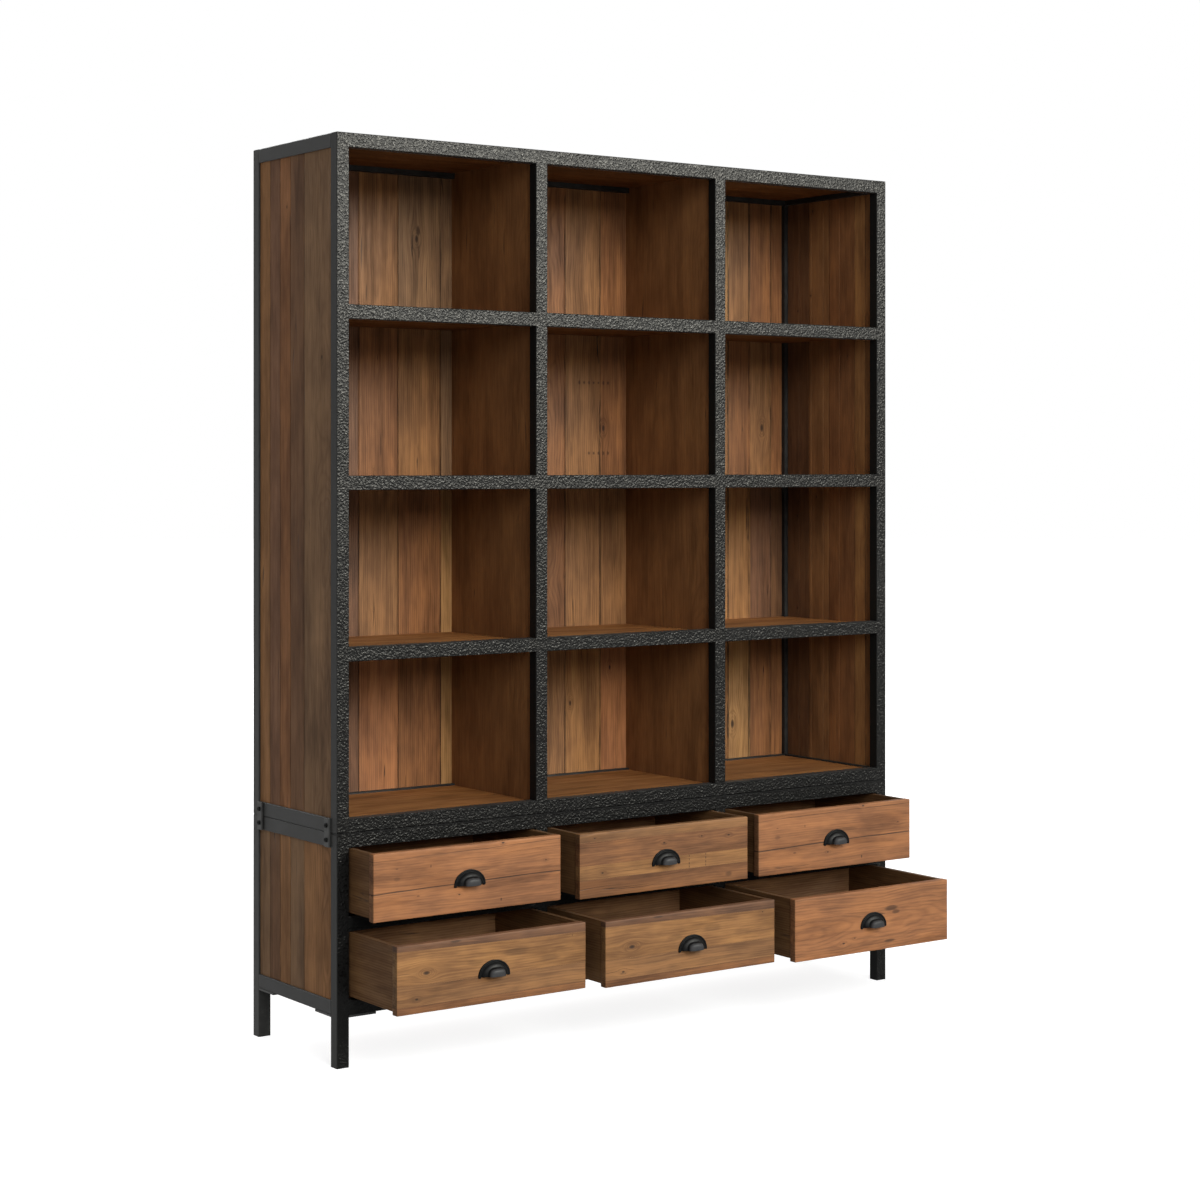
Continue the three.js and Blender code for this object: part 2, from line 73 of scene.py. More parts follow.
# Wood tones of the old planks: main colour, then colour of the late wood
TONES = {
    "honey": (tint(170, 123, 76), tint(121, 84, 52)),
    "straw": (tint(179, 136, 87), tint(129, 95, 58)),
    "tan": (tint(156, 112, 72), tint(109, 77, 50)),
    "ash": (tint(137, 105, 75), tint(96, 73, 53)),
    "russet": (tint(151, 103, 65), tint(103, 69, 45)),
    "plum": (tint(132, 94, 68), tint(90, 64, 47)),
    "umber": (tint(119, 85, 58), tint(82, 58, 41)),
    "rust": (tint(175, 118, 76), tint(128, 86, 57)),
}


# Sizes and colours that a user would change

class SteelSettings(bpy.types.PropertyGroup):
    """Paint of the steel tube"""
    paint: FloatVectorProperty(
        name="Paint", description="Colour of the paint on the tube", subtype="COLOR",
        size=3, min=0, max=1, default=(0.0065, 0.0064, 0.0061))
    rubbed: FloatVectorProperty(
        name="Rubbed tops", description="Colour of the rubbed tops of the pebbles", subtype="COLOR",
        size=3, min=0, max=1, default=(0.0094, 0.0093, 0.009))
    pebble: FloatProperty(
        name="Pebble size", description="Width of one pebble of the hammered face",
        default=0.0049, min=0.001, max=0.03, subtype="DISTANCE", unit="LENGTH")
    relief: FloatProperty(
        name="Relief", description="Height of the pebbles",
        default=0.0018, min=0, max=0.005, subtype="DISTANCE", unit="LENGTH")


class WoodSettings(bpy.types.PropertyGroup):
    """Tones of the boards"""
    shelf: FloatVectorProperty(
        name="Shelves", description="Main colour of the lying boards", subtype="COLOR",
        size=3, min=0, max=1, default=tint(157, 108, 63))
    divider: FloatVectorProperty(
        name="Dividers", description="Main colour of the upright inner boards", subtype="COLOR",
        size=3, min=0, max=1, default=tint(138, 98, 63))
    grain_relief: FloatProperty(
        name="Grain relief", description="Depth of the worn grain",
        default=0.0005, min=0, max=0.003, subtype="DISTANCE", unit="LENGTH")


class FrontSettings(bpy.types.PropertyGroup):
    """Drawer fronts"""
    edge_wear: FloatProperty(
        name="Edge wear", description="Width of the rounding on the edges of a front",
        default=0.0018, min=0.0005, max=0.005, subtype="DISTANCE", unit="LENGTH")
    unevenness: FloatProperty(
        name="Unevenness", description="Height of the waves of the planed faces",
        default=0.0006, min=0, max=0.002, subtype="DISTANCE", unit="LENGTH")


class PullSettings(bpy.types.PropertyGroup):
    """Cast cup pulls"""
    casting: FloatVectorProperty(
        name="Casting", description="Colour of the blackened iron", subtype="COLOR",
        size=3, min=0, max=1, default=(0.0035, 0.0036, 0.0037))
    # hood colour: finger wear together with a painted highlight of the light its front catches
    worn: FloatVectorProperty(
        name="Worn hood", description="Colour of the hood where fingers rub it", subtype="COLOR",
        size=3, min=0, max=1, default=(0.045, 0.045, 0.046))
    wall: FloatProperty(
        name="Wall", description="Thickness of the casting",
        default=0.0022, min=0.001, max=0.004, subtype="DISTANCE", unit="LENGTH")


class BoltSettings(bpy.types.PropertyGroup):
    """Bolts of the joining brackets"""
    head_radius: FloatProperty(
        name="Head radius", description="Radius of a bolt's round head",
        default=0.0053, min=0.003, max=0.012, subtype="DISTANCE", unit="LENGTH")
    head_height: FloatProperty(
        name="Head height", description="How far a bolt's head stands off its bracket",
        default=0.003, min=0.001, max=0.008, subtype="DISTANCE", unit="LENGTH")
    socket_width: FloatProperty(
        name="Socket width", description="Width of the six-sided socket in a head",
        default=0.0044, min=0.002, max=0.008, subtype="DISTANCE", unit="LENGTH")


class StageSettings(bpy.types.PropertyGroup):
    """Light and camera"""
    key_power: FloatProperty(
        name="Key power", description="Power of the large front light",
        default=1900, min=0, max=9000, unit="POWER")
    sheen_power: FloatProperty(
        name="Sheen power", description="Power of the light that only shows in reflections",
        default=3300, min=0, max=9000, unit="POWER")
    rear_power: FloatProperty(
        name="Rear power", description="Power of the light behind the case, for its back",
        default=900, min=0, max=9000, unit="POWER")
    fill_strength: FloatProperty(
        name="Fill strength", description="Strength of the even light from all round",
        default=0.34, min=0, max=2)
    lens: FloatProperty(
        name="Lens", description="Focal length of the camera on a 36 mm sensor",
        default=72.55, min=20, max=200, unit="CAMERA")


# Shader maths written as Python expressions

class Value:
    """Output of a shader node that can be used in sums."""

    def __init__(self, finish, socket):
        self.finish = finish
        self.socket = socket

    def maths(self, operation, *terms):
        return self.finish.node("ShaderNodeMath", {"operation": operation}, dict(enumerate(terms)))

    def __add__(self, other):
        return self.maths("ADD", self, other)

    __radd__ = __add__

    def __sub__(self, other):
        return self.maths("SUBTRACT", self, other)

    def __rsub__(self, other):
        return self.maths("SUBTRACT", other, self)

    def __mul__(self, other):
        return self.maths("MULTIPLY", self, other)

    __rmul__ = __mul__

    def __truediv__(self, other):
        return self.maths("DIVIDE", self, other)

    def __rtruediv__(self, other):
        return self.maths("DIVIDE", other, self)

    def __pow__(self, other):
        return self.maths("POWER", self, other)

    def __abs__(self):
        return self.maths("ABSOLUTE", self)

    def sine(self):
        return self.maths("SINE", self)

    def at_least(self, other):
        return self.maths("MAXIMUM", self, other)

    def at_most(self, other):
        return self.maths("MINIMUM", self, other)


class Finish:
    """Material that is being put together from nodes."""

    def __init__(self, name):
        self.material = bpy.data.materials.new(name)
        self.material.use_nodes = True
        self.tree = self.material.node_tree
        self.tree.nodes.clear()
        self.place = self.node("ShaderNodeTexCoord", output="Object")

    def node(self, kind, settings=None, values=None, output=0, stops=None):
        """Adds one node: its settings first, then its ramp stops, then values or links."""
        made = self.tree.nodes.new(kind)
        for key, value in (settings or {}).items():
            setattr(made, key, value)
        if stops:
            ramp = made.color_ramp.elements
            while len(ramp) < len(stops):
                ramp.new(1.0)
            for element, (position, colour) in zip(ramp, stops):
                element.position = position
                element.color = (*colour, 1)
        for key, value in (values or {}).items():
            if isinstance(value, Value):
                self.tree.links.new(value.socket, made.inputs[key])
            else:
                made.inputs[key].default_value = value
        return Value(self, made.outputs[output])

    def parts(self, vector, kind="ShaderNodeSeparateXYZ"):
        """The three numbers of a vector or colour."""
        made = self.node(kind, values={0: vector}).socket.node
        return [Value(self, made.outputs[index]) for index in range(3)]

    def vector(self, x, y, z):
        return self.node("ShaderNodeCombineXYZ", values={0: x, 1: y, 2: z})

    def noise(self, vector, scale=1.0, detail=2.0, roughness=0.5, output=0):
        return self.node("ShaderNodeTexNoise", {"noise_dimensions": "3D"}, {
            "Vector": vector, "Scale": scale, "Detail": detail, "Roughness": roughness}, output=output)

    def step(self, value, start, end, low=0.0, high=1.0):
        """Smooth step of a value from start to end."""
        return self.node("ShaderNodeMapRange", {"interpolation_type": "SMOOTHSTEP"}, {
            "Value": value, "From Min": start, "From Max": end, "To Min": low, "To Max": high})

    def mix(self, factor, first, second, blend="MIX"):
        """Mixes two colours."""
        first, second = ((*c, 1) if isinstance(c, tuple) else c for c in (first, second))
        return self.node("ShaderNodeMix", {"data_type": "RGBA", "blend_type": blend}, {
            0: factor, 6: first, 7: second}, output=2)

    def bands(self, position, stops):
        """Steps of colour along a position, each kept until the next one starts."""
        made = self.node("ShaderNodeValToRGB", values={0: position}, stops=stops)
        made.socket.node.color_ramp.interpolation = "CONSTANT"
        return made

    def bump(self, height, distance, strength=1.0, normal=None):
        values = {"Height": height, "Distance": distance, "Strength": strength}
        if normal:
            values["Normal"] = normal
        return self.node("ShaderNodeBump", values=values)

    def close(self, colour, roughness, normal, specular=0.5, metallic=0.0):
        """Ends the material with its shader."""
        shader = self.node("ShaderNodeBsdfPrincipled", values={
            "Base Color": colour, "Roughness": roughness, "Metallic": metallic,
            "Specular IOR Level": specular, "Normal": normal})
        return self.end(shader)

    def end(self, shader):
        made = self.tree.nodes.new("ShaderNodeOutputMaterial")
        self.tree.links.new(shader.socket, made.inputs["Surface"])
        return self.material


# Steel and iron

def hammered_steel(name, steel):
    """Black paint, wrinkled into fine pebbles on the face that looks forward; the other faces are painted lighter as a
    reflection, and the inner side faces of the openings darker as shade.
    """
    f = Finish(name)
    sideways, facing, up = f.parts(f.node("ShaderNodeTexCoord", output="Normal"))
    ahead = f.step(facing, -0.5, -0.85)
    # painted shade: picks out the side faces inside the openings (|x| under 0.82 m), which are kept dark
    inner = f.step(abs(sideways), 0.5, 0.8) * f.step(abs(f.parts(f.place)[0]), 0.82, 0.8)
    warp = f.noise(f.place, 160, 1, output=1)
    bent = f.mix(0.003, f.place, warp, "ADD")
    fold = f.noise(bent, 1 / steel.pebble, 1, 0.5)
    grit = f.noise(f.place, 480, 1, 0.5)
    height = (fold + grit * 0.14) * (ahead * 0.95 + 0.05)
    joint = abs(f.parts(f.place)[2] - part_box("upper_front_frame")[0].z)
    groove = f.step(joint, 0.0026, 0.001)
    height = height - groove * 1.6
    crest = f.step(fold + (grit - 0.5) * 0.2, 0.4, 0.7) * (1 - groove)
    # painted reflection and painted shade: faces that don't look forward take 0.041 for the reflection they would
    # show, the inner side faces 0.009 for their shade
    painted_side_reflection_and_shade = f.mix(inner, (0.041, 0.041, 0.0395), (0.009, 0.009, 0.0085))
    colour = f.mix(ahead, painted_side_reflection_and_shade, f.mix(crest, tuple(steel.paint), tuple(steel.rubbed)))
    rough = f.step(grit, 0.3, 0.7, 0.3, 0.38)
    return f.close(colour, rough, f.bump(height, steel.relief, 1.0), 0.046, crest * ahead)


def smooth_steel(name, steel, relief=0.00012, roughness=0.46, specular=0.14):
    """Satin black paint over tube or plate without hammering."""
    f = Finish(name)
    cloud = f.noise(f.place, 38, 3, 0.6)
    peel = f.noise(f.place, 520, 2)
    colour = f.mix(f.step(cloud, 0.35, 0.75), (0.018, 0.018, 0.017), (0.03, 0.03, 0.028))
    rough = f.step(cloud, 0.3, 0.7, roughness - 0.05, roughness + 0.07)
    return f.close(colour, rough, f.bump(peel, relief, 0.6), specular)


def cast_iron(name, colour, worn=None):
    """Blackened casting with a fine sand texture, paler where its reach says so: finger wear together with a painted
    highlight on the parts that stand out furthest.
    """
    f = Finish(name)
    sand = f.noise(f.place, 1100, 2, 0.6)
    cloud = f.noise(f.place, 120, 2)
    tone = f.mix(f.step(cloud, 0.3, 0.75), colour, scaled(colour, 1.8))
    if worn:
        reach = f.node("ShaderNodeAttribute", {"attribute_name": "reach"}, output="Fac")
        # paler on the most forward parts of the hood: finger wear together with a painted highlight
        tone = f.mix(f.step(reach + (cloud - 0.5) * 0.1, 0.55, 0.8), tone, worn)
    rough = f.step(cloud, 0.3, 0.7, 0.38, 0.48)
    return f.close(tone, rough, f.bump(sand, 0.00016, 0.6), 0.035)


# Wood

class Grain:
    """Places on a board in metres: along the grain, across it, and through it."""

    def __init__(self, finish, along, across, flip=1.0):
        places = finish.parts(finish.place)
        self.finish = finish
        self.along = places[along]
        self.across = places[across]
        self.through = places[3 - along - across]
        self.slide = 0.0

    def stretched(self, long_scale, cross_scale, detail=2.0, roughness=0.5, across=None):
        """Noise drawn out along the grain."""
        across = self.across if across is None else across
        return self.finish.noise(self.finish.vector(
            (self.along + self.slide) * long_scale, across * cross_scale, self.through * cross_scale),
            1.0, detail, roughness)


def round_knots(f, g, knots):
    """Bends the grain round each knot; returns the flow, the dark hearts and the rings round them.

    A knot is (along, across, radius) in metres.
    """
    flow = g.across
    heart = rings = 0.0
    for along, across, radius in knots:
        du = (g.along - along) * 0.5
        dv = g.across - across
        far = du * du + dv * dv
        flow = flow - dv * (radius * radius * 0.95) / far.at_least(radius * radius * 0.6)
        span = far ** 0.5 / radius
        heart = heart + f.step(span, 0.42, 0.15)
        rings = rings + ((span * 26.0).sine() * 0.5 + 0.5) * f.step(span, 1.3, 0.5) * 0.5
    return flow, heart, rings


def spots(f, g, marks, feather):
    """Mask of soft-edged marks, each (along, across, half length, half width, strength)."""
    total = 0.0
    for along, across, length, width, strength in marks:
        du = (g.along - along) / length
        dv = (g.across - across) / width
        far = (du * du + dv * dv) ** 0.5 + feather
        total = total + f.step(far, 1.25, 0.55) * strength
    return total


def timber(f, g, light, dark, shift=0.0, heart_across=0.0, heart_depth=0.03, slope=0.02,
           rings=170.0, knots=(), marks=(), lines=(), figure=1.0, mottle=1.0, cracks=1.0, lined=0.85, fleck=1.0):
    """Colour, height and roughness tone of old planed wood.

    The growth rings are those of a board sawn from a log whose heart lies heart_across to one
    side and heart_depth below, so they run straight near the edges and arch in the middle.
    """
    flow, knot_heart, knot_ring = round_knots(f, g, knots) if knots else (g.across, None, None)
    bend = g.stretched(4.4, 9.0, 2, 0.5, flow + shift)
    v = flow + shift + (bend - 0.5) * 0.014
    blotch = g.stretched(6.5, 15.0, 3, 0.6, v + 3.1)
    streak = g.stretched(2.4, 62.0, 4, 0.62, v)
    fibre = g.stretched(13.0, 260.0, 3, 0.65, v)
    side = flow - heart_across
    deep = g.along * slope + (bend - 0.5) * 0.06 + heart_depth
    distance = (side * side + deep * deep) ** 0.5
    late = ((distance * (rings * 2 * math.pi) + streak * 5.0).sine() * 0.5 + 0.5) ** 2.5
    tone = (streak - 0.5) * (blotch * 1.5 + 0.35) * lined + (fibre - 0.5) * (0.6 * fleck) + (0.35 - late) * (0.2 * figure) \
        + (blotch - 0.5) * (0.95 * mottle) + 0.52
    if knot_ring is not None:
        tone = tone - knot_ring * 0.45
    colour = f.mix(f.step(tone, 0.05, 1.0), dark, light)
    plum = f.step(g.stretched(2.6, 16.0, 4, 0.62, v + 7.7), 0.46, 0.68)
    colour = f.mix(plum * (0.8 * mottle), colour, f.mix(1.0, colour, (0.62, 0.6, 0.6), "MULTIPLY"))
    golden = f.mix(1.0, colour, (1.03, 1.02, 0.95), "MULTIPLY")
    colour = f.mix(f.step(blotch, 0.4, 0.7) * 0.7, colour, golden)
    split = g.stretched(1.1, 46.0, 1, 0.5, v + 1.9)
    patch = f.step(blotch, 0.56, 0.66)
    crack = f.step(abs(split - 0.5), 0.0085, 0.0015) * patch * cracks
    dirt = crack * 0.7
    height = late * -0.18 + fibre * 0.5 + streak * 0.5 - crack * 1.4
    if marks:
        mask = spots(f, g, marks, (fibre - 0.5) * 0.9 + (streak - 0.5) * 0.9)
        dirt = dirt.at_least(mask)
        height = height - mask * 0.25
    if lines:
        mask = 0.0
        for level, climb, hollow, width, strength in lines:
            course = g.along * climb + (g.along - 0.0) * (g.along - 0.0) * hollow + level
            off = abs(g.across - course + (bend - 0.5) * 0.006)
            mask = f.step(off / width + (streak - 0.5) * 1.6, 1.15, 0.35) * strength + mask
        dirt = dirt.at_least(mask)
        height = height - mask * 0.5
    if knot_heart is not None:
        dirt = dirt.at_least(knot_heart * 0.85)
        height = height - knot_heart * 0.7
    colour = f.mix(dirt.at_most(1.0), colour, (0.026, 0.017, 0.013))
    return colour, height, tone


def wood(f, colour, height, tone, relief=0.0005, roughness=0.56):
    rough = f.step(tone, 0.2, 0.9, roughness + 0.1, roughness - 0.06)
    return f.close(colour, rough, f.bump(height, relief, 0.75), 0.07)


def board(name, along, across, main, shift=0.0, relief=0.0005, inner=None, **grain):
    """One wide board, painted darker on its underside as shade; inner lightens the faces that look forward, as painted
    light.
    """
    f = Finish(name)
    g = Grain(f, along, across)
    if inner:
        g.along, g.through = g.along + g.through, 0.0
    light, dark = scaled(main, 1.22, 1.2, 1.14), scaled(main, 0.52, 0.46, 0.42)
    colour, height, tone = timber(f, g, light, dark, shift, **grain)
    # painted shade on the faces that look down
    under = f.step(f.parts(f.node("ShaderNodeTexCoord", output="Normal"))[2], -0.5, -0.8)
    painted_underside_shade = f.mix(1.0, colour, (0.5, 0.48, 0.46), "MULTIPLY")
    if inner:
        # painted light: faces that look forward are lightened by the inner factors
        ahead = f.step(f.parts(f.node("ShaderNodeTexCoord", output="Normal"))[1], -0.5, -0.8)
        colour = f.mix(ahead, colour, f.mix(1.0, colour, inner, "MULTIPLY"))
    return wood(f, f.mix(under, colour, painted_underside_shade), height, tone, relief)


def plank_panel(name, across, low, high, joints, rows, row_edges=(), relief=0.0005, nail_rows=(), **grain):
    """Panel of upright planks.

    Each row of the panel, from the bottom up, lists the tone of every plank; row_edges are the
    heights between the rows, where a shelf hides the butted ends. A nail row is a line of old nail
    holes: height, first place, last place.
    """
    f = Finish(name)
    g = Grain(f, Z, across)
    share = (g.across - low) / (high - low)
    edges = [0.0, *joints]
    behind = f.step(f.parts(f.node("ShaderNodeTexCoord", output="Normal"))[1], 0.5, 0.8)
    main = late = None
    step_up = 0.0
    for index, names in enumerate(rows):
        pair = [f.bands(share, [(edge, TONES[key][kind]) for edge, key in zip(edges, names.split())])
                for kind in (0, 1)]
        if main is None:
            main, late = pair
            continue
        above = f.step(g.along, row_edges[index - 1] - 0.0005, row_edges[index - 1] + 0.0005)
        above = above * (1 - behind)
        main, late = f.mix(above, main, pair[0]), f.mix(above, late, pair[1])
        step_up = step_up + above
    moves = [(edge, ((k * 0.37) % 1, (k * 0.61 + 0.2) % 1, 0)) for k, edge in enumerate(edges)]
    move, lift, unused = f.parts(f.bands(share, moves), "ShaderNodeSeparateColor")
    g.slide = lift * 3.0 + step_up * 1.7
    colour, height, tone = timber(f, g, main, late, shift=move * 4.0 + step_up * 0.73, **grain)
    ends = [*edges[1:], 1.0]
    spans = [(start, ((start + end) / 2, (end - start) / 2, 0)) for start, end in zip(edges, ends)]
    centre, half, unused = f.parts(f.bands(share, spans), "ShaderNodeSeparateColor")
    seam = f.step((half - abs(share - centre)) * (high - low), 0.0026, 0.0006)
    colour = f.mix(seam * f.step(tone, 0.75, 0.3, 0.15, 0.7), colour, (0.02, 0.013, 0.009))
    height = height - seam * 1.2
    for level, first, last in nail_rows:
        row = f.step(abs(g.along - level) + (tone - 0.5) * 0.006, 0.006, 0.001)
        span = f.step(abs(g.across - (first + last) / 2), (last - first) / 2 + 0.003, (last - first) / 2 - 0.003)
        holes = ((g.across * (2 * math.pi / 0.0155)).sine() * 0.5 + 0.5) ** 2.0
        colour = f.mix(row * span * holes * 0.75, colour, (0.03, 0.02, 0.015))
    return wood(f, colour, height, tone, relief)


def front_wood(name, low, high):
    """Wood of one drawer front, glued up from the boards listed for it, dark on its sawn ends."""
    f = Finish(f"wood_{name}_front")
    g = Grain(f, X, Z)
    plan = FRONTS[name]
    wide, tall = high.x - low.x, high.z - low.z
    share = (g.along - low.x) / wide
    rise = (g.across - low.z) / tall
    main = late = None
    shift = 0.0
    for number, (left, right, tone) in enumerate(plan["boards"]):
        pair = TONES[tone]
        if main is None:
            main, late = pair
            continue
        above = f.step(rise - share * (right - left), left - 0.006, left + 0.006)
        main, late = f.mix(above, main, pair[0]), f.mix(above, late, pair[1])
        shift = above * (0.41 * number) + shift

    def place(u, v):
        return low.x + u * wide, low.z + v * tall

    knots = [(*place(u, v), size * MM) for u, v, size in plan.get("knots", ())]
    marks = [(*place(u, v), long * MM, broad * MM, depth) for u, v, long, broad, depth in plan.get("marks", ())]
    lines = []
    for start, middle, end, width, depth in plan.get("lines", ()):
        # height = level + climb * x + hollow * x squared, through the three given heights
        hollow = (start + end - 2 * middle) * 2 * tall / wide ** 2
        climb = (end - start) * tall / wide - hollow * (low.x + high.x)
        level = low.z + start * tall - climb * low.x - hollow * low.x ** 2
        lines.append((level, climb, hollow, width * MM, depth))
    colour, height, tone = timber(
        f, g, main, late, shift + plan.get("shift", 0.0), heart_across=low.z + plan.get("heart", 0.5) * tall,
        knots=knots, marks=marks, lines=lines, figure=plan.get("figure", 0.6), lined=1.0, fleck=1.6, mottle=1.25)
    ends = f.step(abs(f.parts(f.node("ShaderNodeTexCoord", output="Normal"))[0]), 0.6, 0.85)
    sawn = f.mix(1.0, colour, (0.5, 0.56, 0.66), "MULTIPLY")
    return wood(f, f.mix(ends, colour, sawn), height, tone)


def dress(node, material):
    """Gives a frame node its finish."""
    for place in NODES[node].material_slots:
        place.material = material


# Drawer fronts, in shares of a front's width and height. Boards from the bottom up: lower edge at
# the left, at the right, tone. Knots: place, radius in mm. Marks: place, half length, half width in
# mm, depth. Lines, which are cracks: height at left, middle, right, half width in mm, depth.
TICKS = [(u, v, 1.2, 3.2, 0.75) for u in (0.64, 0.74) for v in (0.31, 0.36, 0.42, 0.48)]
PINE = dict(
    boards=[(0, 0, "rust")],
    knots=[(0.68, 0.97, 7), (0.445, 0.27, 5), (0.916, 0.64, 4)],
    marks=[(0.67, 0.126, 2, 4, 0.7), (0.12, 0.6, 9, 5, 0.3), (0.12, 0.75, 4, 1.4, 0.5),
           (0.296, 0.74, 1.6, 4, 0.6), (0.23, 0.32, 5, 2, 0.5), (0.55, 0.62, 40, 5, 0.22),
           (0.3, 0.9, 50, 5, 0.2), (0.85, 0.35, 30, 4, 0.22)],
    lines=[(0.40, 0.445, 0.457, 1.9, 0.8), (0.88, 0.917, 0.94, 0.9, 0.55)],
    heart=-0.9)
GLUED = dict(
    boards=[(0, 0, "russet"), (0.11, 0.11, "tan"), (0.41, 0.40, "honey"), (0.914, 0.86, "plum")],
    knots=[(0.15, 0.57, 13), (0.10, 0.21, 7)],
    marks=[(0.924, 0.83, 1.5, 1.5, 0.9), (0.3, 0.97, 16, 3, 0.55), (0.62, 0.7, 30, 10, 0.22),
           (0.4, 0.62, 22, 8, 0.2), (0.8, 0.55, 30, 8, 0.2)],
    lines=[(0.11, 0.11, 0.11, 0.6, 0.4), (0.412, 0.405, 0.4, 0.6, 0.35)],
    heart=-0.7)
FRONTS = {
    "drawer_top_left": PINE,
    "drawer_top_middle": dict(
        boards=[(0, 0, "russet"), (0.28, 0.28, "honey"), (0.5, 0.5, "russet"), (0.86, 0.85, "tan")],
        knots=[(0.49, 0.73, 6), (0.715, 0.77, 5), (0.88, 0.74, 6), (0.085, 0.91, 4), (0.13, 0.37, 6)],
        marks=[*TICKS, (0.88, 0.12, 12, 6, 0.45)],
        lines=[(0.28, 0.28, 0.28, 0.6, 0.4)], heart=-0.8, shift=0.63),
    "drawer_top_right": PINE,
    "drawer_bottom_left": GLUED,
    "drawer_bottom_middle": GLUED,
    "drawer_bottom_right": dict(
        boards=[(0, 0, "rust")], knots=[(0.308, 0.19, 7), (0.38, 0.25, 4)],
        marks=[(0.62, 0.66, 20, 7, 0.65), (0.65, 0.59, 14, 5, 0.6), (0.61, 0.13, 17, 4, 0.6), (0.2, 0.8, 40, 6, 0.2)],
        heart=0.45, shift=1.9, figure=1.1),
}


# Modelling helpers

def deselect():
    if bpy.context.object and bpy.context.object.mode != "OBJECT":
        bpy.ops.object.mode_set(mode="OBJECT")
    bpy.ops.object.select_all(action="DESELECT")


def shape(piece):
    """Makes the piece the only one selected and opens it for editing."""
    deselect()
    piece.select_set(True)
    bpy.context.view_layer.objects.active = piece
    bpy.ops.object.mode_set(mode="EDIT")


def pick(piece, kind, test):
    """Selects only the vertices, edges or faces of the open mesh that pass a test."""
    bpy.ops.mesh.select_mode(type={"verts": "VERT", "edges": "EDGE", "faces": "FACE"}[kind])
    bpy.ops.mesh.select_all(action="DESELECT")
    mesh = bmesh.from_edit_mesh(piece.data)
    for element in getattr(mesh, kind):
        if test(element):
            element.select_set(True)
    mesh.select_flush_mode()
    bmesh.update_edit_mesh(piece.data)


def modifier(piece, kind, **settings):
    """Adds a modifier and applies it."""
    deselect()
    piece.select_set(True)
    bpy.context.view_layer.objects.active = piece
    made = piece.modifiers.new(kind.lower(), kind)
    for key, value in settings.items():
        setattr(made, key, value)
    bpy.ops.object.modifier_apply(modifier=made.name)


def settle(piece, smooth):
    """Puts the piece's place into its mesh and shades it."""
    deselect()
    piece.select_set(True)
    bpy.context.view_layer.objects.active = piece
    bpy.ops.object.transform_apply(location=True, rotation=True, scale=True)
    bpy.ops.object.shade_smooth_by_angle(angle=math.radians(smooth))


def copy_to(piece, name, offset, turn=0.0):
    """Copy with its own mesh, turned about Z, then moved."""
    made = piece.copy()
    made.data = piece.data.copy()
    made.name = made.data.name = name
    bpy.context.scene.collection.objects.link(made)
    made.data.transform(Matrix.Translation(offset) @ Matrix.Rotation(turn, 4, "Z"))
    return made


def hand_over(piece, name, material, body, slot, *nodes):
    """Names a finished piece, paints it and ties it to its body."""
    piece.name = piece.data.name = name
    piece.data.materials.clear()
    piece.data.materials.append(material)
    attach(piece, body)
    if nodes:
        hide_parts(*nodes)


# Operators

class BOOKCASE_OT_steel(bpy.types.Operator):
    """Paints the welded frames, side rails and plates"""
    bl_idname = "bookcase.steel"
    bl_label = "Steel frames"

    def execute(self, context):
        steel = context.scene.bookcase_steel
        hammered = hammered_steel("hammered_steel", steel)
        smooth = smooth_steel("smooth_steel", steel)
        plates = smooth_steel("plate_steel", steel, 0.0002, 0.52, 0.3)
        for name in NODES:
            if name.endswith("front_frame"):
                dress(name, hammered)
            elif name.endswith("rear_frame") or "side_rail" in name:
                dress(name, smooth)
            elif name.startswith(("corner_plate", "joining_bracket")):
                dress(name, plates)
        return {"FINISHED"}


class BOOKCASE_OT_boards(bpy.types.Operator):
    """Finishes the shelves, dividers, top and floors"""
    bl_idname = "bookcase.boards"
    bl_label = "Shelves and dividers"

    def execute(self, context):
        wood_settings = context.scene.bookcase_wood
        lying = [name for name in NODES if name.startswith("shelf_")]
        lying += ["upper_top_board", "upper_floor_board", "base_floor_board"]
        for index, name in enumerate(lying):
            dress(name, board(f"wood_{name}", X, Y, tuple(wood_settings.shelf), 0.31 * index + 0.1))
        upright = [name for name in NODES if "divider_" in name]
        for index, name in enumerate(upright):
            dress(name, board(f"wood_{name}", Z, Y, tuple(wood_settings.divider), 0.47 * index + 0.2,
                              figure=0.35, lined=0.4, mottle=0.8))
        return {"FINISHED"}


